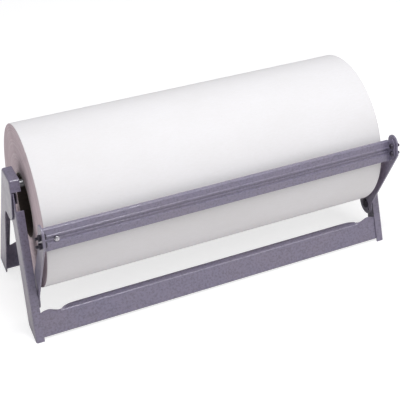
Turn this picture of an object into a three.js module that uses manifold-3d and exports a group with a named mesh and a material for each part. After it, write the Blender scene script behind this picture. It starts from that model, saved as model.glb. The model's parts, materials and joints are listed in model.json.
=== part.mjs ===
// Counter-top paper roll dispenser with a spring-loaded cutter bar.
// Millimetres, +Z up, X along the roll, -Y towards the person tearing the sheet.
// Origin: on the table plane, at the middle of the object's footprint box, midway between the end stands.
// The pieces are laid out from the roll's axis (y = 0) and the whole group is then moved by ORIGIN_Y.
import * as THREE from 'three';
import { mergeVertices } from 'three/addons/utils/BufferGeometryUtils.js';
import Module from 'manifold-3d';

const wasm = await Module();
wasm.setup();

// ---- driving dimensions ----
const ORIGIN_Y = 13.05;        // the roll's axis is this far behind the origin
const AXIS_Z = 137.1;          // roll axis above the table
const ROLL_R = 103.2;          // full roll
const ROLL_HALF = 227.5;       // half of the roll's width (18 in paper)
const CORE_RI = 38.1;          // 3 in core
const CORE_RO = 41.6;
const GAP = 0.3;               // clearance between touching pieces

const SHEET = 1.6;             // pressed steel of the stands
const X_OUTER = 249.2;         // outer face of the rear leg and its head
const X_FRONT = 247.0;         // outer face of the nested front leg
const X_FLANGE = 236.5;        // inner edge of every stand flange

const FOOT_FRONT = -95;        // front edge of the front foot
const SLOPE_FRONT = 0.342;     // y per z of the front leg's front edge
const FOOT_REAR = 89;          // rear edge of the rear foot
const WINDOW_LOW = 158;        // rod window in the front flange
const WINDOW_HIGH = 181;
const HEAD_TOP_FRONT = 196;
const HEAD_TOP_REAR = 190;

const ROD_R = 4.75;
const ROD_HALF = 244.4;
const ROD_Z = AXIS_Z + CORE_RI - ROD_R - 0.35;   // the core hangs on the rod

const BAR_SHEET = 1.5;         // crossbars
const BAR_LOW = 3.5;
const BAR_BEND = 30;
const BAR_FLANGE = 9.4;
const REAR_SHIFT = 147;        // the rear crossbar is the front one moved back

const PIVOT = [-62.3, 45];     // cutter pivot (y, z)
const ARM_R = 15;
const ARM_IN = 234.0;          // arm plate, |x|
const ARM_OUT = 236.0;
const ARM_Y0 = -50.4;          // front edge of the arm: y = ARM_Y0 - ARM_SLOPE z
const ARM_SLOPE = 0.485;

const EAR = [-116, 175.3];     // rounded ear at the arm's top
const EAR_R = 10.8;

const CUT_TOP = [-108.7, 174.1];   // cutter bar reference line: its outer fold to its lower edge
const CUT_BOTTOM = [-113.5, 146.6];
const CUT_HALF = 233.7;
const CUT_SHEET = 1.5;

// ---- materials ----
const enamel = () => new THREE.MeshStandardMaterial({ color: 0x6f6b80, roughness: 0.42, metalness: 0.25 });
const steel = () => new THREE.MeshStandardMaterial({ color: 0x9a9ca2, roughness: 0.35, metalness: 0.9 });
const darkSteel = () => new THREE.MeshStandardMaterial({ color: 0x3c3b42, roughness: 0.45, metalness: 0.8 });
const paper = () => new THREE.MeshStandardMaterial({ color: 0xece9e6, roughness: 0.85, metalness: 0 });
const board = () => new THREE.MeshStandardMaterial({ color: 0xb39a7c, roughness: 0.9, metalness: 0 });

// ---- helpers ----
const group = new THREE.Group();
const YZX = new THREE.Matrix4().makeBasis(
  new THREE.Vector3(0, 1, 0), new THREE.Vector3(0, 0, 1), new THREE.Vector3(1, 0, 0));

function solid(geometry) {
  const g = geometry.index ? geometry.toNonIndexed() : geometry.clone();
  g.deleteAttribute('normal');
  g.deleteAttribute('uv');
  const m = mergeVertices(g, 1e-4);
  const mesh = new wasm.Mesh({
    numProp: 3,
    vertProperties: new Float32Array(m.attributes.position.array),
    triVerts: new Uint32Array(m.index.array),
  });
  return new wasm.Manifold(mesh);
}

function geometryOf(body) {
  const mesh = body.getMesh();
  const g = new THREE.BufferGeometry();
  g.setAttribute('position', new THREE.BufferAttribute(new Float32Array(mesh.vertProperties), 3));
  g.setIndex(new THREE.BufferAttribute(new Uint32Array(mesh.triVerts), 1));
  g.computeVertexNormals();
  return g;
}

function add(name, shape, material) {
  const geometry = shape.isBufferGeometry ? shape : geometryOf(shape);
  const mesh = new THREE.Mesh(geometry, material);
  mesh.name = name;
  group.add(mesh);
  return mesh;
}

// a prism whose outline lies in the y-z plane, spanning xa..xb
function prismX(points, xa, xb) {
  const shape = new THREE.Shape(points.map(([y, z]) => new THREE.Vector2(y, z)));
  const lo = Math.min(xa, xb), hi = Math.max(xa, xb);
  const g = new THREE.ExtrudeGeometry(shape, { depth: hi - lo, bevelEnabled: false });
  g.applyMatrix4(YZX);
  g.translate(lo, 0, 0);
  return g;
}

function cylX(y, z, r, xa, xb, n = 24, turn = 0) {
  const lo = Math.min(xa, xb), hi = Math.max(xa, xb);
  const g = new THREE.CylinderGeometry(r, r, hi - lo, n);
  g.rotateY(turn);
  g.rotateZ(-Math.PI / 2);
  g.translate((lo + hi) / 2, y, z);
  return g;
}

// a cylinder along any direction, from point a to point b
function cylAB(a, b, r, n = 20) {
  const A = new THREE.Vector3(...a), B = new THREE.Vector3(...b);
  const d = B.clone().sub(A);
  const g = new THREE.CylinderGeometry(r, r, d.length(), n);
  g.applyQuaternion(new THREE.Quaternion().setFromUnitVectors(new THREE.Vector3(0, 1, 0), d.clone().normalize()));
  g.translate((A.x + B.x) / 2, (A.y + B.y) / 2, (A.z + B.z) / 2);
  return g;
}

// points on an arc, angles in degrees
function arc(cy, cz, r, a0, a1, n) {
  const out = [];
  for (let i = 0; i <= n; i++) {
    const a = THREE.MathUtils.degToRad(a0 + (a1 - a0) * i / n);
    out.push([cy + r * Math.cos(a), cz + r * Math.sin(a)]);
  }
  return out;
}

// an open path thickened to one side; the first point's end is cut level
function band(path, t) {
  const inner = path.map((p, i) => {
    const q = path[Math.max(0, i - 1)], r = path[Math.min(path.length - 1, i + 1)];
    const d1 = new THREE.Vector2(p[0] - q[0], p[1] - q[1]);
    const d2 = new THREE.Vector2(r[0] - p[0], r[1] - p[1]);
    if (d1.length() === 0) d1.copy(d2);
    if (d2.length() === 0) d2.copy(d1);
    d1.normalize(); d2.normalize();
    const n1 = new THREE.Vector2(-d1.y, d1.x), n2 = new THREE.Vector2(-d2.y, d2.x);
    const m = n1.clone().add(n2).normalize();
    const k = t / Math.max(0.3, m.dot(n1));
    return [p[0] + m.x * k, p[1] + m.y * k];
  });
  const d = [path[1][0] - path[0][0], path[1][1] - path[0][1]];
  const k = (path[0][1] - inner[0][1]) / d[1];
  inner[0] = [inner[0][0] + k * d[0], path[0][1]];
  return [...path, ...inner.reverse()];
}

const yF = (z) => FOOT_FRONT + SLOPE_FRONT * z;

// rivet positions (y, z)
const BAR_RIVETS = [[yF(9) + 9.5, 9.5], [yF(21) + 9.0, 21]];
const HEAD_RIVETS = [[-4, 176], [-12, 146]];
const RIVET_R = 2.0;
const SINK = 1.2;              // depth of a rivet's countersunk head

// ---- end stands ----
// rear leg with its rounded head: one pressed plate, flanged along the rear, the top and the top of the front
const rearPath = [
  [FOOT_REAR, 0], [17.2, 179.5], ...arc(9.5, 184.6, 6.2, 20, 82, 4).map(([y, z]) => [y, z]),
  [-23, HEAD_TOP_FRONT - 0.9], [-26.4, HEAD_TOP_FRONT - 1.3], [yF(HEAD_TOP_FRONT - 4), HEAD_TOP_FRONT - 4], [yF(WINDOW_HIGH), WINDOW_HIGH],
];
const rearOutline = [
  ...rearPath,
  [-33.6, 176], [-32.8, 168], [-31, 157],
  ...arc(-9, 151.4, 21, 176, 268, 8),
  [2, 130.3], [9, 129.2], [13.6, 126.0], [16.9, 119.8],
  [53, 0],
];
function rearLeg(s) {
  let body = solid(prismX(rearOutline, s * (X_OUTER - SHEET), s * X_OUTER));
  body = body.add(solid(prismX(band(rearPath, SHEET), s * X_FLANGE, s * X_OUTER)));
  for (const [y, z] of [...BAR_RIVETS.map(([y, z]) => [y + REAR_SHIFT, z]), ...HEAD_RIVETS])
    body = body.subtract(sunkHole(s, y, z, X_OUTER));
  return body;
}

// front leg: a narrower channel nested inside the head; its flange stops below the rod window
const frontOutline = [
  [FOOT_FRONT, 0], [-67, 0], [-59.5, 2.2], [-55.3, 6.5],
  [-18.8, 127], [-14.5, 132.5], [-4, 136], [5, 141], [7, 146], [7, 179.5], [yF(179.5), 179.5],
];
function frontLeg(s) {
  let body = solid(prismX(frontOutline, s * (X_FRONT - SHEET), s * X_FRONT));
  const t = SHEET / Math.cos(Math.atan(SLOPE_FRONT));
  const flange = [[yF(0), 0], [yF(0) + t, 0], [yF(WINDOW_LOW) + t, WINDOW_LOW], [yF(WINDOW_LOW), WINDOW_LOW]];
  body = body.add(solid(prismX(flange, s * X_FLANGE, s * X_FRONT)));
  for (const [y, z] of BAR_RIVETS) body = body.subtract(sunkHole(s, y, z, X_FRONT));
  for (const [y, z] of HEAD_RIVETS)
    body = body.subtract(solid(cylX(y, z, RIVET_R + GAP, s * 240, s * 252, 20)));
  body = body.subtract(solid(cylX(PIVOT[0], PIVOT[1], 3.0 + GAP, s * 240, s * 252, 24)));
  return body;
}

// seat for the rod's end: a small channel welded inside the head, open towards the window
function rodSeat(s) {
  const r = ROD_R + GAP;
  const plate = [
    [-15, 152], [12, 152], [12, 183.5], [r, 183.5],
    ...arc(0, ROD_Z, r, 0, -150, 10),
    [-7.2, ROD_Z - 1.6], [-15, ROD_Z - 4.2],
  ];
  const shelf = [[-15, 152], [12, 152], [12, 153.6], [-15, 153.6]];
  const back = [[-10, 152], [3, 152], [3, 163], [-10, 163]];
  let body = solid(prismX(plate, s * 238.4, s * 240.0));
  body = body.add(solid(prismX(shelf, s * 238.4, s * 245.0)));
  body = body.add(solid(prismX(back, s * 243.4, s * 245.0)));
  return body;
}

// a countersunk hole through a plate whose outer face is at |x| = face
function sunkHole(s, y, z, face) {
  const g = new THREE.CylinderGeometry(RIVET_R * 1.6 + GAP + 0.06, RIVET_R + GAP, SINK + 0.1, 20);
  g.rotateZ(s > 0 ? -Math.PI / 2 : Math.PI / 2);
  g.translate(s * (face + 0.1 - (SINK + 0.1) / 2), y, z);
  return solid(g).add(solid(cylX(y, z, RIVET_R + GAP, s * (face - 9), s * (face - SINK + 0.02), 20)));
}

// a rivet along X from inside to outside: a low head inside, a countersunk head flush with the outer face
function rivet(s, y, z, xIn, xOut, r = RIVET_R) {
  const profile = [
    [0, xIn - 1.7], [r * 1.3, xIn - 1.5], [r * 1.75, xIn - GAP],
    [r, xIn - GAP], [r, xOut - SINK], [r * 1.6, xOut], [0, xOut],
  ].map(([a, b]) => new THREE.Vector2(a, b));
  const g = new THREE.LatheGeometry(profile, 14);
  // lathe axis is +Y; turn it onto +X or -X
  g.rotateZ(s > 0 ? -Math.PI / 2 : Math.PI / 2);
  g.translate(0, y, z);
  return g;
}

// ---- crossbars ----
// the face leans with the front leg; its ends rise into ears, and the top flange stops short of them
function crossbar(half, shift) {
  const a = Math.atan(SLOPE_FRONT);
  const off = 2.05;                       // behind the leg's flange
  const n = new THREE.Vector3(0, -Math.cos(a), Math.sin(a));
  const sdir = new THREE.Vector3(0, Math.sin(a), Math.cos(a));
  const toS = (z) => z / Math.cos(a);
  const bend = toS(BAR_BEND);
  const rise = [
    [half, 32.6], [236.5, 32.9], [231.5, 34.5], [227, 35.0], [223.5, 34.6], [220, 33.2], [216.5, 32.0], [213, 31.2], [210.5, BAR_BEND],
  ].map(([x, z]) => [x, toS(z)]);
  const outline = [
    [-half, toS(BAR_LOW)], [half, toS(BAR_LOW)], ...rise, ...rise.map(([x, s]) => [-x, s]).reverse(),
  ];
  const shape = new THREE.Shape(outline.map(([x, s]) => new THREE.Vector2(x, s)));
  const face = new THREE.ExtrudeGeometry(shape, { depth: BAR_SHEET, bevelEnabled: false });
  const origin = new THREE.Vector3(0, FOOT_FRONT + shift + off, 0).addScaledVector(n, -BAR_SHEET);
  const m = new THREE.Matrix4().makeBasis(new THREE.Vector3(1, 0, 0), sdir, n).setPosition(origin);
  face.applyMatrix4(m);
  let body = solid(face);
  // top flange
  const y0 = yF(BAR_BEND) + shift + off;
  const fl = [
    [-210, y0 + 0.2], [210, y0 + 0.2], [209.6, y0 + 2.2], [207.6, y0 + 4.9], [204, y0 + 7.4], [198, y0 + BAR_FLANGE],
    [-198, y0 + BAR_FLANGE], [-204, y0 + 7.4], [-207.6, y0 + 4.9], [-209.6, y0 + 2.2],
  ];
  const fs = new THREE.Shape(fl.map(([x, y]) => new THREE.Vector2(x, y)));
  const fg = new THREE.ExtrudeGeometry(fs, { depth: BAR_SHEET, bevelEnabled: false });
  fg.translate(0, 0, BAR_BEND - BAR_SHEET);
  body = body.add(solid(fg));
  // end tabs lying against the stand's plate
  for (const s of [-1, 1]) {
    const tab = [
      [yF(5) + shift + off + 0.8, 5], [yF(5) + shift + 14.5, 5], [yF(13) + shift + 15.5, 13],
      [yF(25) + shift + 13.2, 25], [yF(28) + shift + off + 0.8, 28],
    ];
    body = body.add(solid(prismX(tab, s * (half - BAR_SHEET), s * half)));
    for (const [y, z] of BAR_RIVETS)
      body = body.subtract(solid(cylX(y + shift, z, RIVET_R + GAP, s * (half - 6), s * (half + 4), 20)));
  }
  return body;
}
const HALF_FRONT = X_FRONT - SHEET - GAP;
const HALF_REAR = X_OUTER - SHEET - GAP;

for (const [side, s] of [['left', -1], ['right', 1]]) {
  add(`${side}_rear_leg`, rearLeg(s), enamel());
  add(`${side}_front_leg`, frontLeg(s), enamel());
  add(`${side}_rod_seat`, rodSeat(s), enamel());
  BAR_RIVETS.forEach(([y, z], i) => {
    add(`${side}_front_rivet_${i + 1}`, rivet(s, y, z, HALF_FRONT - BAR_SHEET, X_FRONT), enamel());
    add(`${side}_rear_rivet_${i + 1}`, rivet(s, y + REAR_SHIFT, z, HALF_REAR - BAR_SHEET, X_OUTER), enamel());
  });
  HEAD_RIVETS.forEach(([y, z], i) => {
    add(`${side}_head_rivet_${i + 1}`, rivet(s, y, z, X_FRONT - SHEET, X_OUTER), enamel());
  });
}
add('front_crossbar', crossbar(HALF_FRONT, 0), enamel());
add('rear_crossbar', crossbar(HALF_REAR, REAR_SHIFT), enamel());

// ---- rod, core and paper ----
function ring(ro, ri, half, n) {
  const profile = [[ri, -half], [ro, -half], [ro, half], [ri, half], [ri, -half]].map(([a, b]) => new THREE.Vector2(a, b));
  const g = new THREE.LatheGeometry(profile, n);
  g.rotateZ(-Math.PI / 2);
  g.translate(0, 0, AXIS_Z);
  return g;
}
{
  const c = 0.8;
  const profile = [[0, -ROD_HALF], [ROD_R - c, -ROD_HALF], [ROD_R, -ROD_HALF + c], [ROD_R, ROD_HALF - c], [ROD_R - c, ROD_HALF], [0, ROD_HALF]]
    .map(([a, b]) => new THREE.Vector2(a, b));
  const g = new THREE.LatheGeometry(profile, 28);
  g.rotateZ(-Math.PI / 2);
  g.translate(0, 0, ROD_Z);
  add('hanger_rod', g, darkSteel());
}
add('paper_core', ring(CORE_RO, CORE_RI, ROLL_HALF, 72), board());
add('paper_roll', ring(ROLL_R, CORE_RO + GAP, ROLL_HALF, 120), paper());

// ---- cutter ----
const u = new THREE.Vector2(CUT_BOTTOM[0] - CUT_TOP[0], CUT_BOTTOM[1] - CUT_TOP[1]).normalize();
const nrm = new THREE.Vector2(u.y, -u.x);                   // away from the roll
const cut = (s, n) => [CUT_TOP[0] + u.x * s + nrm.x * n, CUT_TOP[1] + u.y * s + nrm.y * n];

const barFace = [                                             // outer surface, (down the face, outwards)
  [0, 0], [7.6, 0.2], [8.3, 1.2], [9.9, 1.2], [10.7, -0.9], [13.0, -0.9], [13.6, 0.1], [14.7, 0.1],
  [15.3, -0.9], [17.2, -0.9], [17.9, 0.9], [19.2, 0.9], [27.9, 0],
];
const barBack = [
  [27.9, -1.5], [19.4, -0.7], [18.4, -0.7], [17.6, -2.4], [10.2, -2.4], [9.4, -0.4], [8.4, -0.4], [7.6, -1.3], [1.5, -1.5],
  [1.5, -5.7], [0, -5.7],
];
const BOLTS = [[-118, 171.5], [-119.5, 161]];
const SCREW_S = 14.2;          // the blade screw's place down the bar's face
const SCREW_X = -215.8;
const BOLT_TIP = 243;          // |x| of the bolt's end, outside its nut
const tabOutline = [
  cut(0, -5.4), cut(0, 0.4), [-113, 181.5], [-118, 181.8], [-123, 177], [-124.5, 171], [-125, 162], [-123, 156], [-118, 150],
  cut(27.6, -0.5), cut(27.6, -1.4), cut(17, -2.4),
];
function cutterBar() {
  let body = solid(prismX([...barFace, ...barBack].map(([s, n]) => cut(s, n)), -CUT_HALF, CUT_HALF));
  for (const s of [-1, 1]) {
    body = body.add(solid(prismX(tabOutline, s * (CUT_HALF - CUT_SHEET), s * CUT_HALF)));
    for (const [y, z] of BOLTS) body = body.subtract(solid(cylX(y, z, 2.3, s * 226, s * 236, 20)));
  }
  const [ya, za] = cut(SCREW_S, 8), [yb, zb] = cut(SCREW_S, -6);
  body = body.subtract(solid(cylAB([SCREW_X, ya, za], [SCREW_X, yb, zb], 1.9, 20)));
  return body;
}
add('cutter_bar', cutterBar(), enamel());

// blade strip clamped behind the bar, its edge just clear of the paper
{
  const out = [[10.6, -2.75], [18.6, -2.75], [29.2, -9.2]], back = [[28.4, -9.75], [18.3, -3.75], [10.6, -3.75]];
  let body = solid(prismX([...out, ...back].map(([s, n]) => cut(s, n)), -226, 226));
  const [ya, za] = cut(SCREW_S, 8), [yb, zb] = cut(SCREW_S, -6);
  body = body.subtract(solid(cylAB([SCREW_X, ya, za], [SCREW_X, yb, zb], 1.9, 20)));
  add('cutter_blade', body, steel());
}
{
  const p = (n) => { const [y, z] = cut(SCREW_S, n); return [SCREW_X, y, z]; };
  let body = solid(cylAB(p(1.5), p(-4.5), 1.5, 18));
  body = body.add(solid(cylAB(p(0.45), p(2.25), 3.3, 24)));
  add('blade_screw', body, darkSteel());
}

function armOutline() {
  const c = PIVOT, k = 1 / Math.hypot(1, ARM_SLOPE);
  const dist = Math.abs(c[0] - ARM_Y0 + ARM_SLOPE * c[1]) * k;
  const half = Math.sqrt(ARM_R * ARM_R - dist * dist);
  const foot = [c[0] - dist * k, c[1] - dist * ARM_SLOPE * k];
  const hit = [foot[0] - half * ARM_SLOPE * k, foot[1] + half * k];
  const aFront = THREE.MathUtils.radToDeg(Math.atan2(hit[1] - c[1], hit[0] - c[0])) + 360;
  const aRear = THREE.MathUtils.radToDeg(Math.atan2(ARM_SLOPE * k, k)) + 360;
  return [
    ...arc(c[0], c[1], ARM_R, aFront % 360, aRear, 22),
    [-101.5, 150], [-103, 163], [-105.2, 171],
    ...arc(EAR[0], EAR[1], EAR_R, -5, 165, 14),
    [-126.8, 170.8], [-129.2, 165.8], [-129.3, 162.7],
  ];
}
const SPRING_HOLE = [-70.6, 40.2];
function cutterArm(s) {
  let body = solid(prismX(armOutline(), s * ARM_IN, s * ARM_OUT));
  body = body.subtract(solid(cylX(PIVOT[0], PIVOT[1], 3.9, s * 228, s * 238, 28)));
  body = body.subtract(solid(cylX(SPRING_HOLE[0], SPRING_HOLE[1], 1.7, s * 228, s * 238, 18)));
  for (const [y, z] of BOLTS) body = body.subtract(solid(cylX(y, z, 2.3, s * 228, s * 238, 20)));
  return body;
}
for (const [side, s] of [['left', -1], ['right', 1]]) {
  add(`${side}_cutter_arm`, cutterArm(s), enamel());
  BOLTS.forEach(([y, z], i) => {
    const head = CUT_HALF - CUT_SHEET - GAP;
    let bolt = solid(cylX(y, z, 2.0, s * (head - 1), s * BOLT_TIP, 18));
    bolt = bolt.add(solid(cylX(y, z, 3.9, s * (head - 2.6), s * head, 20)));
    add(`${side}_bar_bolt_${i + 1}`, bolt, darkSteel());
    let nut = solid(cylX(y, z, 4.0, s * (ARM_OUT + GAP), s * (ARM_OUT + GAP + 3.2), 6, 0.1));
    nut = nut.subtract(solid(cylX(y, z, 2.0 + GAP, s * 224, s * 246, 18)));
    add(`${side}_bar_nut_${i + 1}`, nut, darkSteel());
  });
  // pivot stud welded to the front leg, with a shoulder that carries the spring
  const stud = [
    [0, 231.7], [3.0, 231.7], [3.5, 232.1], [3.5, 236.3], [4.2, 236.3], [4.2, 245.0], [3.0, 245.0], [3.0, X_FRONT], [0, X_FRONT],
  ].map(([a, b]) => new THREE.Vector2(a, b));
  const sg = new THREE.LatheGeometry(stud, 24);
  sg.rotateZ(s > 0 ? -Math.PI / 2 : Math.PI / 2);
  sg.translate(0, PIVOT[0], PIVOT[1]);
  add(`${side}_pivot_stud`, sg, darkSteel());
  // push-on retaining washer inside the arm
  let washer = solid(cylX(PIVOT[0], PIVOT[1], 6.6, s * (ARM_IN - GAP - 1.3), s * (ARM_IN - GAP), 28));
  washer = washer.subtract(solid(cylX(PIVOT[0], PIVOT[1], 3.5 + GAP, s * 230, s * 236, 28)));
  add(`${side}_pivot_washer`, washer, darkSteel());
  // torsion spring round the stud
  const turns = 4.25, wire = 0.75, mean = 6.2, x0 = 237.4, x1 = 243.6;
  class Coil extends THREE.Curve {
    getPoint(t, target = new THREE.Vector3()) {
      // straight leg, coil, straight leg
      const L1 = 12, Lc = turns * 2 * Math.PI * mean, L2 = 13, all = L1 + Lc + L2;
      const d = t * all;
      const a0 = THREE.MathUtils.degToRad(s > 0 ? -60 : -60);
      const at = (a, x) => [s * x, PIVOT[0] + mean * Math.cos(a), PIVOT[1] + mean * Math.sin(a)];
      const tangent = (a) => [0, -Math.sin(a), Math.cos(a)];
      if (d < L1) {
        const p = at(a0, x0), v = tangent(a0), k = L1 - d;
        return target.set(p[0], p[1] - v[1] * k, p[2] - v[2] * k);
      }
      if (d < L1 + Lc) {
        const f = (d - L1) / Lc;
        return target.set(...at(a0 + f * turns * 2 * Math.PI, x0 + (x1 - x0) * f));
      }
      const a1 = a0 + turns * 2 * Math.PI, p = at(a1, x1), v = tangent(a1), k = d - L1 - Lc;
      return target.set(p[0], p[1] + v[1] * k, p[2] + v[2] * k);
    }
  }
  const ws = new THREE.Shape(arc(0, 0, wire, 0, 288, 4).map(([a, b]) => new THREE.Vector2(a, b)));
  const spring = new THREE.ExtrudeGeometry(ws, { steps: 64, extrudePath: new Coil(), bevelEnabled: false });
  add(`${side}_torsion_spring`, spring, darkSteel());
}

group.position.set(0, ORIGIN_Y, 0);
export default group;
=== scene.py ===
"""Looks for the counter-top paper roll dispenser: fine meshes, materials, floor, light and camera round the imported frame."""

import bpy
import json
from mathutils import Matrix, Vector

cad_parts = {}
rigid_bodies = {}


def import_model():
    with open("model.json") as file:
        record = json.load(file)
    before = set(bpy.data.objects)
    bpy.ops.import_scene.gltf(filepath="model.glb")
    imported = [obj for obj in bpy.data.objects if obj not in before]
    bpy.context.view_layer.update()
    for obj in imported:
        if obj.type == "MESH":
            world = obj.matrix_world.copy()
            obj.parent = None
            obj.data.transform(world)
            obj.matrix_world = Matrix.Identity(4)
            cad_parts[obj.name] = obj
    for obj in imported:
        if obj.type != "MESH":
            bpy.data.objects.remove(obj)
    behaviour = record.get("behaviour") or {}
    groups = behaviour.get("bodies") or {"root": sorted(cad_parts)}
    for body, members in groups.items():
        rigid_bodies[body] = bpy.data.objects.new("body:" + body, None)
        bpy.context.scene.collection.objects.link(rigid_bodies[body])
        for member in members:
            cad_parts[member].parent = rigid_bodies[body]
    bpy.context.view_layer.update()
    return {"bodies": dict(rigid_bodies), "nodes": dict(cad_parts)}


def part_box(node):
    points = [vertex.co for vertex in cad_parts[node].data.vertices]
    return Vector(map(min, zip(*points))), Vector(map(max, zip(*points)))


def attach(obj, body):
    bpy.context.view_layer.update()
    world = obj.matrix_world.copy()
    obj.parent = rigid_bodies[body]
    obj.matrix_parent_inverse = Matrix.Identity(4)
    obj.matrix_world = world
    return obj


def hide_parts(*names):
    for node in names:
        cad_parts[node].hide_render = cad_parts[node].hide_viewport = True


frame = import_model()

import json
import math

import bmesh
import bpy
import numpy as np
from mathutils import Matrix, Vector

scene = bpy.context.scene
NODES = frame["nodes"]
SIDES = (("left", -1), ("right", 1))

# Lengths below are millimetres measured from the roll's axis in y and from the table in z.
_lo, _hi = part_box("hanger_rod")
OY = (_lo.y + _hi.y) / 2
ROD_Z = (_lo.z + _hi.z) * 500
ROD_R = (_hi.z - _lo.z) * 500
ROD_HALF = _hi.x * 1000
_lo, _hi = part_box("paper_roll")
AXIS_Z = (_lo.z + _hi.z) * 500
ROLL_R = (_hi.z - _lo.z) * 500
ROLL_HALF = _hi.x * 1000
_lo, _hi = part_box("paper_core")
CORE_RO = (_hi.z - _lo.z) * 500
CORE_RI = CORE_RO - 3.5


# ---------------------------------------------------------------- materials
class Tree:
    """A short way to write a material's nodes."""

    def __init__(self, name):
        self.mat = bpy.data.materials.new(name)
        self.mat.use_nodes = True
        self.nt = self.mat.node_tree
        self.nt.nodes.clear()
        self.out = self.nt.nodes.new("ShaderNodeOutputMaterial")
        self.bsdf = self.nt.nodes.new("ShaderNodeBsdfPrincipled")
        self.nt.links.new(self.bsdf.outputs[0], self.out.inputs[0])
        self.pos = self.nt.nodes.new("ShaderNodeTexCoord").outputs["Object"]

    def put(self, socket, value):
        if isinstance(value, bpy.types.NodeSocket):
            self.nt.links.new(value, socket)
        elif value is not None:
            socket.default_value = value

    def set(self, **values):
        for k, v in values.items():
            self.put(self.bsdf.inputs[k.replace("_", " ")], v)
        return self

    def math(self, op, a, b=None, c=None, clamp=False):
        n = self.nt.nodes.new("ShaderNodeMath")
        n.operation = op
        n.use_clamp = clamp
        for s, v in zip(n.inputs, (a, b, c)):
            self.put(s, v)
        return n.outputs[0]

    def noise(self, scale, detail=3.0, rough=0.5, vector=None, stretch=None):
        n = self.nt.nodes.new("ShaderNodeTexNoise")
        n.inputs["Scale"].default_value = scale
        n.inputs["Detail"].default_value = detail
        n.inputs["Roughness"].default_value = rough
        v = vector or self.pos
        if stretch:
            m = self.nt.nodes.new("ShaderNodeMapping")
            m.inputs["Scale"].default_value = stretch
            self.put(m.inputs["Vector"], v)
            v = m.outputs[0]
        self.put(n.inputs["Vector"], v)
        return n.outputs["Fac"]

    def spots(self, scale, feature="F1", vector=None):
        n = self.nt.nodes.new("ShaderNodeTexVoronoi")
        n.feature = feature
        n.inputs["Scale"].default_value = scale
        self.put(n.inputs["Vector"], vector or self.pos)
        return n.outputs["Distance"]

    def range(self, value, a, b, c=0.0, d=1.0):
        n = self.nt.nodes.new("ShaderNodeMapRange")
        n.clamp = True
        self.put(n.inputs["Value"], value)
        for k, v in zip(("From Min", "From Max", "To Min", "To Max"), (a, b, c, d)):
            n.inputs[k].default_value = v
        return n.outputs[0]

    def mix(self, fac, a, b, kind="MIX"):
        n = self.nt.nodes.new("ShaderNodeMix")
        n.data_type = "RGBA"
        n.blend_type = kind
        self.put(n.inputs[0], fac)
        for s, v in ((n.inputs[6], a), (n.inputs[7], b)):
            self.put(s, (*v, 1.0) if isinstance(v, tuple) and len(v) == 3 else v)
        return n.outputs[2]

    def split(self):
        n = self.nt.nodes.new("ShaderNodeSeparateXYZ")
        self.put(n.inputs[0], self.pos)
        return n.outputs

    def wear(self, radius=0.0012):
        """1 on sharp outside edges, 0 elsewhere."""
        b = self.nt.nodes.new("ShaderNodeBevel")
        b.samples = 4
        b.inputs["Radius"].default_value = radius
        g = self.nt.nodes.new("ShaderNodeNewGeometry")
        d = self.nt.nodes.new("ShaderNodeVectorMath")
        d.operation = "DOT_PRODUCT"
        self.put(d.inputs[0], b.outputs[0])
        self.put(d.inputs[1], g.outputs["Normal"])
        return self.range(d.outputs["Value"], 0.97, 0.80)

    def bump(self, height, distance, strength=1.0, normal=None):
        n = self.nt.nodes.new("ShaderNodeBump")
        n.inputs["Strength"].default_value = strength
        n.inputs["Distance"].default_value = distance
        self.put(n.inputs["Height"], height)
        if normal is not None:
            self.put(n.inputs["Normal"], normal)
        return n.outputs[0]


def enamel(name, base, warm, rough=0.36):
    t = Tree(name)
    cloud = t.noise(18, 3, 0.55)
    grain = t.noise(900, 2, 0.6)
    fleck = t.noise(340, 3, 0.65)
    c = t.mix(t.range(cloud, 0.35, 0.68), base, warm)
    c = t.mix(t.range(grain, 0.35, 0.65, 0.0, 0.22), c, tuple(v * 0.72 for v in base))
    c = t.mix(t.range(fleck, 0.36, 0.64, 0.0, 0.36), c, tuple(v * 1.42 for v in base))
    c = t.mix(t.range(fleck, 0.50, 0.34, 0.0, 0.40), c, tuple(v * 0.55 for v in base))
    edge = t.wear()
    worn = t.math("MULTIPLY", edge, t.range(t.noise(160, 3, 0.6), 0.50, 0.62))
    c = t.mix(t.math("MULTIPLY", worn, 0.55), c, (0.36, 0.35, 0.39))
    scuff = t.range(t.noise(70, 4, 0.65, stretch=(0.25, 1.0, 1.0)), 0.60, 0.72)
    r = t.range(t.noise(45, 3, 0.5), 0.3, 0.7, rough - 0.05, rough + 0.08)
    r = t.math("ADD", r, t.math("MULTIPLY", scuff, 0.10))
    peel = t.noise(260, 2, 0.45)
    n = t.bump(peel, 0.00022, 0.5)
    n = t.bump(grain, 0.00005, 0.5, n)
    t.set(Base_Color=c, Roughness=r, Metallic=0.0, Coat_Weight=0.7, Coat_Roughness=0.12, Normal=n)
    t.set(IOR=1.52)
    return t.mat


def metal(name, base, rough, brush=(1, 1, 1), scale=420.0, dirt=0.35):
    t = Tree(name)
    lines = t.noise(scale, 3, 0.6, stretch=brush)
    cloud = t.noise(60, 3, 0.6)
    c = t.mix(t.range(lines, 0.3, 0.7), tuple(v * 0.78 for v in base), base)
    c = t.mix(t.range(cloud, 0.45, 0.75, 0.0, dirt), c, tuple(v * 0.35 for v in base))
    r = t.range(lines, 0.3, 0.7, rough - 0.06, rough + 0.10)
    n = t.bump(lines, 0.00004, 0.6)
    t.set(Base_Color=c, Roughness=r, Metallic=0.92, Normal=n)
    return t.mat


def radius_of(t):
    xyz = t.split()
    y = t.math("SUBTRACT", xyz[1], OY)
    z = t.math("SUBTRACT", xyz[2], AXIS_Z / 1000)
    return t.math("SQRT", t.math("ADD", t.math("MULTIPLY", y, y), t.math("MULTIPLY", z, z)))


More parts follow.
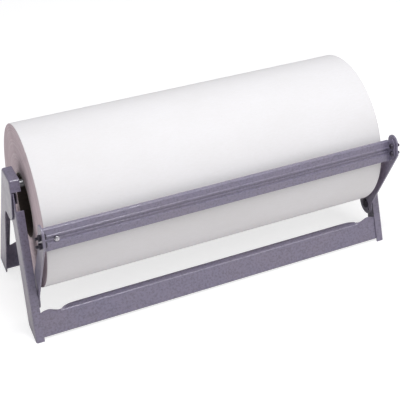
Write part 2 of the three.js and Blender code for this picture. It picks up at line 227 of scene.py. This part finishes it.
def paper_side():
    t = Tree("paper_wound_surface")
    cloud = t.noise(9, 4, 0.6, stretch=(1.0, 1.6, 1.6))
    fibre = t.noise(520, 4, 0.7, stretch=(0.35, 1.0, 1.0))
    speck = t.range(t.noise(380, 2, 0.5), 0.70, 0.78, 0.0, 0.22)
    c = t.mix(t.range(cloud, 0.32, 0.70), (0.815, 0.805, 0.818), (0.780, 0.768, 0.772))
    c = t.mix(t.range(fibre, 0.35, 0.7, 0.0, 0.35), c, (0.745, 0.730, 0.715))
    c = t.mix(speck, c, (0.58, 0.54, 0.50))
    n = t.bump(fibre, 0.00012, 0.55)
    n = t.bump(cloud, 0.0012, 0.25, n)
    t.set(Base_Color=c, Roughness=t.range(fibre, 0.3, 0.7, 0.72, 0.86), Normal=n, Sheen_Weight=0.12, Specular_IOR_Level=0.28)
    return t.mat


def rings(name, base, dark, light, scale):
    """Edges of wound sheet seen on the roll's end."""
    t = Tree(name)
    r = radius_of(t)
    v = t.nt.nodes.new("ShaderNodeCombineXYZ")
    t.put(v.inputs[0], r)
    fine = t.noise(scale, 3, 0.75, vector=v.outputs[0])
    wide = t.noise(scale / 9, 2, 0.6, vector=v.outputs[0])
    blot = t.noise(26, 4, 0.6)
    c = t.mix(t.range(fine, 0.34, 0.66), dark, base)
    c = t.mix(t.range(wide, 0.42, 0.66, 0.0, 0.75), c, light)
    c = t.mix(t.range(blot, 0.48, 0.74, 0.0, 0.30), c, tuple(k * 0.72 for k in dark))
    n = t.bump(fine, 0.0004, 0.7)
    t.set(Base_Color=c, Roughness=0.9, Normal=n, Specular_IOR_Level=0.2)
    return t.mat


# Core board: its brown is darkened almost to black as painted shade for the hollow inside of the core; the helical
# seam line is a real dark joint.
def board_painted_shade(name):
    t = Tree(name)
    xyz = t.split()
    y = t.math("SUBTRACT", xyz[1], OY)
    z = t.math("SUBTRACT", xyz[2], AXIS_Z / 1000)
    turn = t.math("DIVIDE", t.math("ARCTAN2", z, y), 2 * math.pi)
    helix = t.math("FRACT", t.math("ADD", t.math("MULTIPLY", xyz[0], 1 / 0.085), turn))
    seam = t.math("SUBTRACT", 1.0, t.range(t.math("ABSOLUTE", t.math("SUBTRACT", helix, 0.5)), 0.0, 0.018))
    fibre = t.noise(300, 4, 0.7, stretch=(0.5, 1, 1))
    c = t.mix(t.range(fibre, 0.3, 0.7), (0.050, 0.040, 0.036), (0.080, 0.062, 0.052))
    c = t.mix(t.math("MULTIPLY", seam, 0.7), c, (0.03, 0.024, 0.02))
    n = t.bump(fibre, 0.0002, 0.5)
    n = t.bump(seam, 0.0004, -0.8, n)
    t.set(Base_Color=c, Roughness=0.88, Normal=n, Specular_IOR_Level=0.2)
    return t.mat


M_ENAMEL = enamel("grey_enamel", (0.190, 0.172, 0.250), (0.205, 0.178, 0.238))
M_HARDWARE = metal("dark_plated_steel", (0.11, 0.10, 0.125), 0.42)
M_SCREW = metal("bright_screw_steel", (0.62, 0.61, 0.64), 0.20)
M_ROD = metal("drawn_steel_rod", (0.30, 0.30, 0.31), 0.32, brush=(0.05, 1, 1))
M_BLADE = metal("ground_blade_steel", (0.62, 0.62, 0.64), 0.24, brush=(1, 0.08, 0.08), dirt=0.2)
M_SPRING = metal("oiled_spring_wire", (0.18, 0.18, 0.19), 0.28)
M_PAPER = paper_side()
M_LAYERS = rings("paper_layer_edges", (0.84, 0.70, 0.74), (0.66, 0.53, 0.565), (0.90, 0.79, 0.82), 2600)
# near-black board: painted shade inside the core
M_BOARD_PAINTED_SHADE = board_painted_shade("spiral_wound_board_painted_shade")


def material_for(node):
    if node == "paper_roll":
        return M_PAPER, "paper"
    if node == "paper_core":
        return M_BOARD_PAINTED_SHADE, "core_board"
    if node == "hanger_rod":
        return M_ROD, "rod_steel"
    if node == "cutter_blade":
        return M_BLADE, "blade_steel"
    if "spring" in node:
        return M_SPRING, "spring_steel"
    if node == "blade_screw":
        return M_SCREW, "dark_hardware"
    if any(k in node for k in ("bolt", "nut", "stud", "washer", "screw")):
        return M_HARDWARE, "dark_hardware"
    return M_ENAMEL, "grey_enamel"


for name, ob in NODES.items():
    mat, slot = material_for(name)
    ob.data.materials.clear()
    ob.data.materials.append(mat)
# ---------------------------------------------------------------- fine meshes
X_OUTER, X_FRONT, X_FLANGE, SHEET, GAP = 249.2, 247.0, 236.5, 1.6, 0.3
PIVOT, ARM_R, ARM_IN, ARM_OUT = (-62.3, 45.0), 15.0, 234.0, 236.0
ARM_Y0, ARM_SLOPE = -50.4, 0.485
EAR, EAR_R = (-116.0, 175.3), 10.8
CUT_TOP, CUT_BOTTOM, CUT_HALF, CUT_SHEET = (-108.7, 174.1), (-113.5, 146.6), 233.7, 1.5
BOLTS, BOLT_TIP = ((-118.0, 171.5), (-119.5, 161.0)), 243.0
SCREW_S, SCREW_X, SPRING_HOLE = 14.2, -215.8, (-70.6, 40.2)


def yF(z):
    return -95 + 0.342 * z


def body_of(node):
    return next(b for b, e in frame["bodies"].items() if e == NODES[node].parent)


def finish(bm, name, cad, mats=None, bevel=0.25, segs=2, sharp=35):
    bmesh.ops.remove_doubles(bm, verts=bm.verts, dist=1e-4)
    bmesh.ops.recalc_face_normals(bm, faces=bm.faces)
    for v in bm.verts:
        v.co = Vector((v.co.x / 1000, v.co.y / 1000 + OY, v.co.z / 1000))
    for f in bm.faces:
        f.smooth = True
    me = bpy.data.meshes.new(name)
    bm.to_mesh(me)
    bm.free()
    ob = bpy.data.objects.new(name, me)
    scene.collection.objects.link(ob)
    mat, slot = material_for(cad[0])
    for m in mats or (mat,):
        me.materials.append(m)
    if bevel:
        b = ob.modifiers.new("edge", "BEVEL")
        b.width, b.segments = bevel / 1000, segs
        b.limit_method, b.angle_limit = "ANGLE", math.radians(38)
        b.use_clamp_overlap = False
        ob.modifiers.new("shade", "WEIGHTED_NORMAL")
    else:
        me.set_sharp_from_angle(angle=math.radians(sharp))
    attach(ob, body_of(cad[0]))
    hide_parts(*cad)
    return ob


def loft(bm, rings, cap=True):
    rows = [[bm.verts.new(p) for p in ring] for ring in rings]
    n = len(rows[0])
    for a, b in zip(rows, rows[1:]):
        for k in range(n):
            bm.faces.new((a[k], a[(k + 1) % n], b[(k + 1) % n], b[k]))
    if cap:
        bm.faces.new(rows[0][::-1])
        bm.faces.new(rows[-1])


def prism(bm, pts, x0, x1):
    loft(bm, [[(x, y, z) for y, z in pts] for x in (x0, x1)])


def turned(bm, profile, origin, axis, n=40, closed=False):
    """(radius, height) pairs turned round an axis."""
    ax = Vector(axis).normalized()
    e1 = ax.orthogonal().normalized()
    e2 = ax.cross(e1)
    o = Vector(origin)
    rows = []
    for r, h in profile:
        if r < 1e-6:
            rows.append([bm.verts.new(o + ax * h)])
        else:
            rows.append([bm.verts.new(o + ax * h + (e1 * math.cos(a) + e2 * math.sin(a)) * r)
                         for a in (2 * math.pi * k / n for k in range(n))])
    pairs = list(zip(rows, rows[1:])) + ([(rows[-1], rows[0])] if closed else [])
    for a, b in pairs:
        for k in range(n):
            j = (k + 1) % n
            if len(a) == 1:
                bm.faces.new((a[0], b[k], b[j]))
            elif len(b) == 1:
                bm.faces.new((a[k], a[j], b[0]))
            else:
                bm.faces.new((a[k], a[j], b[j], b[k]))


def circle(c, r, n=28):
    return [(c[0] + r * math.cos(2 * math.pi * k / n), c[1] + r * math.sin(2 * math.pi * k / n)) for k in range(n)]


def plate(bm, outline, holes, x0, x1):
    sets = []
    for x in (x0, x1):
        loops = [[bm.verts.new((x, y, z)) for y, z in pts] for pts in [outline, *holes]]
        edges = [bm.edges.new((l[k], l[(k + 1) % len(l)])) for l in loops for k in range(len(l))]
        bmesh.ops.triangle_fill(bm, use_beauty=True, edges=edges, normal=(1, 0, 0))
        sets.append(loops)
    for a, b in zip(*sets):
        for k in range(len(a)):
            j = (k + 1) % len(a)
            bm.faces.new((a[k], a[j], b[j], b[k]))


def arc(c, r, a0, a1, n):
    return [(c[0] + r * math.cos(math.radians(a0 + (a1 - a0) * k / n)),
             c[1] + r * math.sin(math.radians(a0 + (a1 - a0) * k / n))) for k in range(n + 1)]


def fillet(pts, radii, closed=False, n=5):
    out, m = [], len(pts)
    for i, p in enumerate(pts):
        r = radii[i] if isinstance(radii, (list, tuple)) else radii
        if (not closed and i in (0, m - 1)) or r <= 0:
            out.append(tuple(p))
            continue
        P = Vector(p)
        A, B = Vector(pts[i - 1]) - P, Vector(pts[(i + 1) % m]) - P
        la, lb = A.length, B.length
        A.normalize()
        B.normalize()
        ang = math.acos(max(-1, min(1, A.dot(B))))
        if ang > math.pi - 0.06:
            out.append(tuple(p))
            continue
        d = min(r / math.tan(ang / 2), 0.45 * la, 0.45 * lb)
        r2 = d * math.tan(ang / 2)
        C = P + (A + B).normalized() * (r2 / math.sin(ang / 2))
        u0, u1 = P + A * d - C, P + B * d - C
        a0, a1 = math.atan2(u0.y, u0.x), math.atan2(u1.y, u1.x)
        da = (a1 - a0 + math.pi) % (2 * math.pi) - math.pi
        out += [(C.x + r2 * math.cos(a0 + da * k / n), C.y + r2 * math.sin(a0 + da * k / n)) for k in range(n + 1)]
    return out


def pressed(bm, path, rest, s, x_out, R=2.8, k=5, t=SHEET):
    """A plate whose edge along path is folded inwards; rest is the plain edge. The inside is left of the path."""
    n, L, r = len(path), x_out - X_FLANGE, R - t
    sec = [(R - R * math.sin(math.pi / 2 * i / k), R - R * math.cos(math.pi / 2 * i / k)) for i in range(k + 1)]
    sec += [(0, L), (t, L)]
    sec += [(R - r * math.sin(math.pi / 2 * i / k), R - r * math.cos(math.pi / 2 * i / k)) for i in range(k, -1, -1)]
    rows = []
    for i, p in enumerate(path):
        P = Vector(p)
        d1 = (P - Vector(path[i - 1])).normalized() if i else None
        d2 = (Vector(path[i + 1]) - P).normalized() if i < n - 1 else None
        d1, d2 = d1 or d2, d2 or d1
        n1, n2 = Vector((-d1.y, d1.x)), Vector((-d2.y, d2.x))
        if i in (0, n - 1):
            M = Vector((1 / n1.x, 0))
        else:
            m = (n1 + n2).normalized()
            M = m / m.dot(n1)
        rows.append([bm.verts.new((s * (x_out - w), P.x + M.x * d, P.y + M.y * d)) for d, w in sec])
    for a, b in zip(rows, rows[1:]):
        for j in range(len(sec) - 1):
            bm.faces.new((a[j], a[j + 1], b[j + 1], b[j]))
    bm.faces.new(rows[0])
    bm.faces.new(rows[-1][::-1])
    out = [bm.verts.new((s * x_out, y, z)) for y, z in rest]
    ins = [bm.verts.new((s * (x_out - t), y, z)) for y, z in rest]
    bm.faces.new([q[0] for q in rows] + out)
    bm.faces.new(([q[-1] for q in rows] + ins)[::-1])
    eo, ei = [rows[-1][0], *out, rows[0][0]], [rows[-1][-1], *ins, rows[0][-1]]
    for j in range(len(eo) - 1):
        bm.faces.new((eo[j], eo[j + 1], ei[j + 1], ei[j]))


def tube(bm, pts, r, n=10):
    P = [Vector(p) for p in pts]
    ref, rings_ = None, []
    for i, p in enumerate(P):
        t = (P[min(i + 1, len(P) - 1)] - P[max(i - 1, 0)]).normalized()
        e = t.orthogonal().normalized() if ref is None else (ref - t * ref.dot(t)).normalized()
        ref = e
        f = t.cross(e)
        rings_.append([p + (e * math.cos(2 * math.pi * k / n) + f * math.sin(2 * math.pi * k / n)) * r for k in range(n)])
    loft(bm, rings_)


# end stands: the flush rivets are painted over outside and show only as low heads inside
REAR_PATH = fillet([(89, 0), (12.85, 190.38), (-28.05, 195.77), (yF(181), 181)], [0, 6.2, 3.8, 0], n=7)
REAR_REST = [(-33.0, 180.3), (-33.4, 176), (-32.8, 168), (-31, 157), *arc((-9, 151.4), 21, 176, 268, 14),
             *fillet([(-6, 130.4), (9, 129.6), (16.9, 119.8), (53, 0)], [0, 9, 6, 0])[1:]]
FRONT_PATH = [(yF(158), 158), (-95, 0)]
FRONT_REST = [*fillet([(-70, 0), (-57.5, 0), (-18.8, 127), (5, 141)], [0, 9, 9, 0])[1:-1],
              (-4, 136), (5, 141), (7, 146), (7, 179.5), (yF(179.5), 179.5), (yF(159), 159)]
BAR_RIVETS = [(yF(9) + 9.5, 9.5), (yF(21) + 9.0, 21)]
HEAD_RIVETS = [(-4, 176), (-12, 146)]


def rivet(name, cad, s, y, z, x_in, x_out):
    bm = bmesh.new()
    turned(bm, [(0, x_in - 1.7), (1.4, x_in - 1.62), (2.6, x_in - 1.25), (3.3, x_in - 0.75), (3.5, x_in - GAP),
                (2.0, x_in - GAP), (2.0, x_out - 0.8), (0, x_out - 0.8)], (0, y, z), (s, 0, 0), 28)
    finish(bm, name, [cad], bevel=0)


for side, s in SIDES:
    bm = bmesh.new()
    pressed(bm, REAR_PATH, REAR_REST, s, X_OUTER)
    finish(bm, f"{side}_rear_leg_pressing", [f"{side}_rear_leg"])
    bm = bmesh.new()
    pressed(bm, FRONT_PATH, FRONT_REST, s, X_FRONT)
    finish(bm, f"{side}_front_leg_pressing", [f"{side}_front_leg"])
    for i, (y, z) in enumerate(BAR_RIVETS):
        rivet(f"{side}_front_rivet_head_{i+1}", f"{side}_front_rivet_{i+1}", s, y, z, X_FRONT - SHEET - GAP - 1.5, X_FRONT)
        rivet(f"{side}_rear_rivet_head_{i+1}", f"{side}_rear_rivet_{i+1}", s, y + 147, z, X_OUTER - SHEET - GAP - 1.5, X_OUTER)
    for i, (y, z) in enumerate(HEAD_RIVETS):
        rivet(f"{side}_head_rivet_head_{i+1}", f"{side}_head_rivet_{i+1}", s, y, z, X_FRONT - SHEET, X_OUTER)


# crossbars: a leaning face folded back into a flange, its ends rising into ears
def smooth(a, b, x):
    t = max(0.0, min(1.0, (x - a) / (b - a)))
    return t * t * (3 - 2 * t)


def crossbar(name, cad, half, shift):
    a, sh, Ro = math.atan(0.342), 1.5, 3.0
    full = math.pi / 2 - a
    T = Ro * math.tan(full / 2)
    s1 = 30 / math.cos(a) - T
    up, out = Vector((math.sin(a), math.cos(a))), Vector((-math.cos(a), math.sin(a)))
    base = Vector((-95 + shift + 2.05, 0))
    tops = [(213, 31.2), (216.5, 32.0), (220, 33.2), (223.5, 34.6), (227, 35.0), (231.5, 34.5), (236.5, 32.9), (half, 32.6)]
    flange = [(0, 9.4 - T), (196, 9.4 - T), (201, 6.2), (205, 4.6), (208.5, 3.3), (211, 2.9)]

    def length(x):
        if x >= 211:
            pts = [(211, 2.9)] + [(u, w / math.cos(a) - s1) for u, w in tops[1:]]
        else:
            pts = flange
        return float(np.interp(x, [p[0] for p in pts], [p[1] for p in pts]))

    xs = [0, 50, 100, 150, 190, 198, 201, 204, 206, 207.6, 208.8, 209.6, 210.3, 211, 211.8, 212.5, 213.2, 214.5, 216,
          218, 220, 222, 224, 226, 228, 230, 232, 234.5, 237, 240, half]
    bm = bmesh.new()
    rings_ = []
    for x in [-v for v in xs[:0:-1]] + xs:
        ax = abs(x)
        phi = max(math.radians(0.6), full * (1 - smooth(202.0, 215.0, ax)))
        outer, inner = [], []

        def put(p, n):
            outer.append(p)
            inner.append(p - n * sh)

        put(base + up * (3.5 / math.cos(a)), out)
        p1 = base + up * s1
        put(p1, out)
        centre = p1 - out * Ro
        for k in range(1, 8):
            n = Vector((out.x * math.cos(phi * k / 7) + out.y * math.sin(phi * k / 7),
                        -out.x * math.sin(phi * k / 7) + out.y * math.cos(phi * k / 7)))
            put(centre + n * Ro, n)
        d = Vector((n.y, -n.x))
        put(outer[-1] + d * length(ax), n)
        rings_.append([(x, q.x, q.y) for q in outer + inner[::-1]])
    loft(bm, rings_)
    tab = [(yF(5) + shift + 2.85, 5), (yF(5) + shift + 14.5, 5), (yF(13) + shift + 15.5, 13),
           (yF(25) + shift + 13.2, 25), (yF(28) + shift + 2.85, 28)]
    for s in (-1, 1):
        prism(bm, fillet(tab, [0.5, 3, 3, 3, 0.5], closed=True), s * (half - 1.5), s * (half - 0.02))
    finish(bm, name, [cad])


crossbar("front_crossbar_pressing", "front_crossbar", X_FRONT - SHEET - GAP, 0)
crossbar("rear_crossbar_pressing", "rear_crossbar", X_OUTER - SHEET - GAP, 147)

# cutter bar, blade and screw
U = (Vector(CUT_BOTTOM) - Vector(CUT_TOP)).normalized()
N = Vector((U.y, -U.x))


def cut(s_, n_):
    return (CUT_TOP[0] + U.x * s_ + N.x * n_, CUT_TOP[1] + U.y * s_ + N.y * n_)


FACE = [(0, 0), (7.6, 0.2), (8.3, 1.2), (9.9, 1.2), (10.7, -0.9), (13.0, -0.9), (13.6, 0.1), (14.7, 0.1), (15.3, -0.9),
        (17.2, -0.9), (17.9, 0.9), (19.2, 0.9), (27.9, 0), (27.9, -1.5), (19.4, -0.7), (18.4, -0.7), (17.6, -2.4),
        (10.2, -2.4), (9.4, -0.4), (8.4, -0.4), (7.6, -1.3), (1.5, -1.5), (1.5, -5.7), (0, -5.7)]
FACE_R = [1.6, 0.5, 0.7, 0.7, 0.35, 0.35, 0.45, 0.45, 0.35, 0.35, 0.6, 0.8, 0.3, 0.3, 0.6, 0.4, 0.4,
          0.4, 0.4, 0.4, 0.4, 0.6, 0.3, 0.3]
bm = bmesh.new()
prism(bm, [cut(*p) for p in fillet(FACE, FACE_R, closed=True, n=6)], -CUT_HALF + 0.6, CUT_HALF - 0.6)
TAB = [cut(0, -5.4), cut(0, 0.4), (-113, 181.5), (-118, 181.8), (-123, 177), (-124.5, 171), (-125, 162), (-123, 156),
       (-118, 150), cut(27.6, -0.5), cut(27.6, -1.4), cut(17, -2.4)]
for s in (-1, 1):
    prism(bm, fillet(TAB, [0.4, 0.6, 4, 4, 4, 4, 4, 4, 4, 0.3, 0.3, 0.5], closed=True), s * (CUT_HALF - CUT_SHEET), s * CUT_HALF)
finish(bm, "cutter_bar_forming", ["cutter_bar"], bevel=0.18)

bm = bmesh.new()
BLADE = [(10.6, -2.75), (18.6, -2.75), (27.4, -8.1), (29.2, -9.2), (28.9, -9.4), (27.0, -9.0), (18.3, -3.75), (10.6, -3.75)]
prism(bm, [cut(*p) for p in BLADE], -226, 226)
finish(bm, "cutter_blade_ground", ["cutter_blade"], bevel=0.06)

bm = bmesh.new()
cy, cz = cut(SCREW_S, 0)
o, axis = Vector((SCREW_X, cy, cz)), Vector((0, N.x, N.y))
turned(bm, [(0, -4.5), (1.2, -4.5), (1.5, -4.2), (1.5, 0.45), (3.2, 0.45), (3.3, 0.6), (3.3, 1.25), (0, 1.25)], o, axis, 36)
across, along = Vector((1, 0, 0)), Vector((0, -N.y, N.x))
for side_ in (-1, 1):
    half_ = [(2.9 * math.cos(math.radians(v)), 2.9 * math.sin(math.radians(v))) for v in np.linspace(12, 168, 15)]
    rows = [[o + axis * h + (across * (q[0] * k_) + along * (q[1] * k_)) * side_ for q in half_]
            for h, k_ in ((1.1, 1.13), (1.5, 1.10), (1.95, 0.98), (2.25, 0.72))]
    loft(bm, rows)
finish(bm, "blade_screw_slotted", ["blade_screw"], bevel=0)


def hexagon(y, z, r, turn=0.1):
    return [(y + r * math.cos(turn + math.pi / 3 * k), z + r * math.sin(turn + math.pi / 3 * k)) for k in range(6)]


dist = abs(PIVOT[0] - ARM_Y0 + ARM_SLOPE * PIVOT[1]) / math.hypot(1, ARM_SLOPE)
kk = 1 / math.hypot(1, ARM_SLOPE)
half_chord = math.sqrt(ARM_R ** 2 - dist ** 2)
hit = (PIVOT[0] - dist * kk - half_chord * ARM_SLOPE * kk, PIVOT[1] - dist * ARM_SLOPE * kk + half_chord * kk)
a_front = math.degrees(math.atan2(hit[1] - PIVOT[1], hit[0] - PIVOT[0])) % 360
a_rear = math.degrees(math.atan2(ARM_SLOPE, 1)) + 360
ARM = [*arc(PIVOT, ARM_R, a_front, a_rear, 36), (-101.5, 150), (-103, 163), (-105.2, 171),
       *arc(EAR, EAR_R, -5, 165, 24), (-126.8, 170.8), (-129.2, 165.8), (-129.3, 162.7)]

for side, s in SIDES:
    bm = bmesh.new()
    plate(bm, ARM, [circle(PIVOT, 3.9), circle(SPRING_HOLE, 1.7, 20)], s * ARM_IN, s * ARM_OUT)
    finish(bm, f"{side}_cutter_arm_plate", [f"{side}_cutter_arm"], bevel=0.3)
    for i, (y, z) in enumerate(BOLTS):
        head = CUT_HALF - CUT_SHEET - GAP
        prof = [(0, head - 2.6), (1.8, head - 2.5), (3.1, head - 2.0), (3.8, head - 1.0), (3.9, head - 0.3), (3.7, head),
                (2.0, head)]
        x = ARM_OUT
        while x < BOLT_TIP - 0.8:
            prof += [(1.98, x), (1.72, x + 0.35)]
            x += 0.7
        prof += [(1.9, BOLT_TIP - 0.6), (1.5, BOLT_TIP), (0, BOLT_TIP)]
        bm = bmesh.new()
        turned(bm, prof, (0, y, z), (s, 0, 0), 28)
        finish(bm, f"{side}_bar_bolt_{i+1}_threaded", [f"{side}_bar_bolt_{i+1}"], bevel=0)
        bm = bmesh.new()
        x0, x1 = ARM_OUT + GAP, ARM_OUT + GAP + 3.2
        rings_ = [[(s * x, *p) for p in hexagon(y, z, r)] for x, r in ((x0, 3.7), (x0 + 0.35, 4.0), (x1 - 0.35, 4.0), (x1, 3.7))]
        loft(bm, rings_)
        finish(bm, f"{side}_bar_nut_{i+1}_hex", [f"{side}_bar_nut_{i+1}"], bevel=0.12, segs=2)
    bm = bmesh.new()
    turned(bm, [(0, 231.7), (2.6, 231.7), (3.2, 231.9), (3.5, 232.3), (3.5, 236.3), (4.2, 236.5), (4.2, 245.0), (3.0, 245.0),
                (3.0, X_FRONT - 0.8), (0, X_FRONT - 0.8)], (0, *PIVOT), (s, 0, 0), 36)
    finish(bm, f"{side}_pivot_stud_turned", [f"{side}_pivot_stud"], bevel=0)
    bm = bmesh.new()
    w0, w1 = ARM_IN - GAP - 1.3, ARM_IN - GAP
    turned(bm, [(3.8, w0), (6.3, w0), (6.6, w0 + 0.25), (6.6, w1 - 0.2), (6.4, w1), (3.8, w1)], (0, *PIVOT), (s, 0, 0), 40, closed=True)
    finish(bm, f"{side}_pivot_washer_turned", [f"{side}_pivot_washer"], bevel=0)
    mean, wire, x0, x1, turns = 6.2, 0.72, 237.4, 243.6, 4.25
    a0 = math.radians(-60)
    a1 = a0 + turns * 2 * math.pi
    ys, zs = PIVOT
    p0 = (ys + mean * math.cos(a0), zs + mean * math.sin(a0))
    p1 = (ys + mean * math.cos(a1), zs + mean * math.sin(a1))
    pts = [(s * x0, p0[0] + math.sin(a0) * k, p0[1] - math.cos(a0) * k) for k in (12, 8, 4, 1.5)]
    for k in range(137):
        a = a0 + (a1 - a0) * k / 136
        pts.append((s * (x0 + (x1 - x0) * k / 136), ys + mean * math.cos(a), zs + mean * math.sin(a)))
    pts += [(s * x1, p1[0] - math.sin(a1) * k, p1[1] + math.cos(a1) * k) for k in (1.5, 5, 9, 13)]
    bm = bmesh.new()
    tube(bm, pts, wire)
    finish(bm, f"{side}_torsion_spring_wire", [f"{side}_torsion_spring"], bevel=0, sharp=60)

# rod, core and paper
bm = bmesh.new()
turned(bm, [(0, -ROD_HALF), (ROD_R - 0.9, -ROD_HALF), (ROD_R - 0.25, -ROD_HALF + 0.4), (ROD_R, -ROD_HALF + 1.1),
            (ROD_R, ROD_HALF - 1.1), (ROD_R - 0.25, ROD_HALF - 0.4), (ROD_R - 0.9, ROD_HALF), (0, ROD_HALF)],
       (0, 0, ROD_Z), (1, 0, 0), 48)
finish(bm, "hanger_rod_drawn", ["hanger_rod"], bevel=0)


def plain(name, base, rough):
    t = Tree(name)
    f = t.noise(320, 3, 0.6)
    c = t.mix(t.range(f, 0.3, 0.7), tuple(v * 0.82 for v in base), base)
    t.set(Base_Color=c, Roughness=rough, Normal=t.bump(f, 0.00015, 0.5), Specular_IOR_Level=0.2)
    return t.mat


M_CORE_RIM = plain("core_cut_edge", (0.66, 0.62, 0.58), 0.9)


def two_tone(ob, other_faces):
    """Slot 1 goes on the faces whose index is picked by other_faces(centre_x, normal_x)."""
    for f in ob.data.polygons:
        f.material_index = 1 if other_faces(f.center, f.normal) else 0


H, r0, r1 = ROLL_HALF, CORE_RO + GAP, ROLL_R
face_rings = []
r = r0 + 0.6
j = 0
while r < r1 - 1.6:
    dip = 0.10 + 0.10 * math.sin(r * 1.7) + 0.07 * math.sin(r * 4.3 + 1.0) + 0.05 * math.sin(r * 9.1)
    face_rings.append((r, max(0.0, dip)))
    r += 1.1
prof = [(r0, -H + 0.4)] + [(q, -H + d) for q, d in face_rings] + [(r1 - 0.9, -H), (r1 - 0.35, -H + 0.12), (r1 - 0.08, -H + 0.45), (r1, -H + 1.1)]
prof += [(r1, x) for x in np.linspace(-H + 20, H - 20, 9)]
prof += [(q, -h) for q, h in reversed(prof[:len(face_rings) + 5])]
bm = bmesh.new()
turned(bm, prof, (0, 0, AXIS_Z), (1, 0, 0), 240, closed=True)
roll_ob = finish(bm, "paper_roll_wound", ["paper_roll"], mats=(M_PAPER, M_LAYERS), bevel=0, sharp=60)
two_tone(roll_ob, lambda c, n: abs(n.x) > 0.7)

bm = bmesh.new()
turned(bm, [(CORE_RI, -H + 0.8), (CORE_RI + 0.3, -H + 0.5), (40.6, -H + 0.4), (40.8, -H), (CORE_RO - 0.3, -H), (CORE_RO, -H + 0.3),
            (CORE_RO, H - 0.3), (CORE_RO - 0.3, H), (40.8, H), (40.6, H - 0.4), (CORE_RI + 0.3, H - 0.5), (CORE_RI, H - 0.8), (CORE_RI, 0)],
       (0, 0, AXIS_Z), (1, 0, 0), 144, closed=True)
core_ob = finish(bm, "paper_core_tube", ["paper_core"], mats=(M_BOARD_PAINTED_SHADE, M_CORE_RIM), bevel=0, sharp=60)
# On the core's end face everything inside r 40.7 mm keeps the near-black board as painted shade round the opening; the
# ring outside it is the lighter cut edge.
two_tone(core_ob, lambda c, n: math.hypot(c.y - OY, c.z - AXIS_Z / 1000) > 0.0407 and abs(c.x) > (H - 0.5) / 1000)

# ---------------------------------------------------------------- floor, light, camera
def stage_floor():
    bm = bmesh.new()
    n = 24
    grid = {}
    for i in range(n + 1):
        for j in range(n + 1):
            grid[i, j] = bm.verts.new((-4 + 8 * i / n, -4 + 8 * j / n, 0.0))
    for i in range(n):
        for j in range(n):
            bm.faces.new((grid[i, j], grid[i + 1, j], grid[i + 1, j + 1], grid[i, j + 1]))
    me = bpy.data.meshes.new("floor")
    bm.to_mesh(me)
    bm.free()
    ob = bpy.data.objects.new("floor", me)
    scene.collection.objects.link(ob)
    # white to the eye, but a weaker reflector of light back onto the object
    t = Tree("pale_floor")
    soft = t.noise(1.5, 2, 0.5)
    c = t.mix(t.range(soft, 0.3, 0.7), (0.44, 0.44, 0.44), (0.46, 0.46, 0.46))
    t.set(Base_Color=c, Roughness=0.9, Specular_IOR_Level=0.1, Emission_Color=(1.0, 1.0, 1.0, 1.0), Emission_Strength=0.70)
    seen = t.nt.nodes.new("ShaderNodeLightPath").outputs["Is Camera Ray"]
    dull = t.nt.nodes.new("ShaderNodeBsdfDiffuse")
    dull.inputs["Color"].default_value = (0.95, 0.93, 0.92, 1.0)
    pick = t.nt.nodes.new("ShaderNodeMixShader")
    t.put(pick.inputs[0], seen)
    t.put(pick.inputs[1], dull.outputs[0])
    t.put(pick.inputs[2], t.bsdf.outputs[0])
    t.put(t.out.inputs[0], pick.outputs[0])
    me.materials.append(t.mat)
    return ob


stage_floor()


def area(name, at, to, size, power, colour=(1, 1, 1), size_y=None, spread=None):
    d = bpy.data.lights.new(name, "AREA")
    d.shape = "RECTANGLE"
    d.size, d.size_y = size, size_y or size
    d.energy = power
    d.color = colour
    if spread:
        d.spread = math.radians(spread)
    o = bpy.data.objects.new(name, d)
    o.location = at
    o.visible_camera = False
    o.rotation_mode = "QUATERNION"
    o.rotation_quaternion = (Vector(to) - Vector(at)).to_track_quat("-Z", "Y")
    scene.collection.objects.link(o)
    return o


world = bpy.data.worlds.new("studio")
scene.world = world
world.use_nodes = True
bg = world.node_tree.nodes["Background"]
bg.inputs[0].default_value = (0.97, 0.975, 1.0, 1)
# a white backdrop to the eye, a dimmer sky as a light
ray = world.node_tree.nodes.new("ShaderNodeLightPath")
level = world.node_tree.nodes.new("ShaderNodeMath")
level.operation = "MULTIPLY_ADD"
world.node_tree.links.new(ray.outputs["Is Camera Ray"], level.inputs[0])
level.inputs[1].default_value = 0.72
level.inputs[2].default_value = 0.29
world.node_tree.links.new(level.outputs[0], bg.inputs[1])

area("key", (0.85, -1.35, 1.65), (0, 0, 0.12), 1.2, 12.5, (1.0, 0.995, 1.0))
area("top", (-0.1, 0.10, 1.9), (0, 0, 0.1), 1.5, 8, (0.98, 0.985, 1.0), size_y=0.8)
area("rear_left_fill", (-1.6, 0.6, 0.7), (-0.2, 0, 0.12), 0.8, 1.2, (1.0, 0.92, 0.93))
area("strip", (-0.05, -0.50, 1.45), (0, -0.09, 0.18), 0.62, 8.5, (0.98, 0.98, 1.0), size_y=0.05)

# camera solved for the seen proportions; the numbers are camera right, down and forward in the row's axes
RIGHT = Vector((0.902018633123151, -0.4313779424955586, 0.01659687401112711))
DOWN = Vector((-0.16891431812574934, -0.38806110593899584, -0.9060223679300179))
AHEAD = Vector((0.3972786662164932, 0.8144456082426268, -0.42290425935847736))
FOCAL, CX, CY = 1047.5392515128974, 258.4155221041871, 6.98374402050981
cam_data = bpy.data.cameras.new("camera")
cam = bpy.data.objects.new("camera", cam_data)
scene.collection.objects.link(cam)
m = Matrix((
    (RIGHT.x, -DOWN.x, -AHEAD.x, -0.4407891390173633),
    (RIGHT.y, -DOWN.y, -AHEAD.y, -1.0905383885831282 + OY),
    (RIGHT.z, -DOWN.z, -AHEAD.z, 0.7783117620173973 + AXIS_Z / 1000),
    (0, 0, 0, 1)))
cam.matrix_world = m
cam_data.sensor_fit = "HORIZONTAL"
cam_data.sensor_width = 36
cam_data.lens = FOCAL / 400 * 36
cam_data.shift_x = (200 - CX) / 400
cam_data.shift_y = (CY - 200) / 400
cam_data.clip_start, cam_data.clip_end = 0.01, 50
scene.camera = cam

scene.view_settings.view_transform = "Standard"
scene.view_settings.look = "None"
scene.view_settings.exposure = 0.0
scene.view_settings.gamma = 1.0
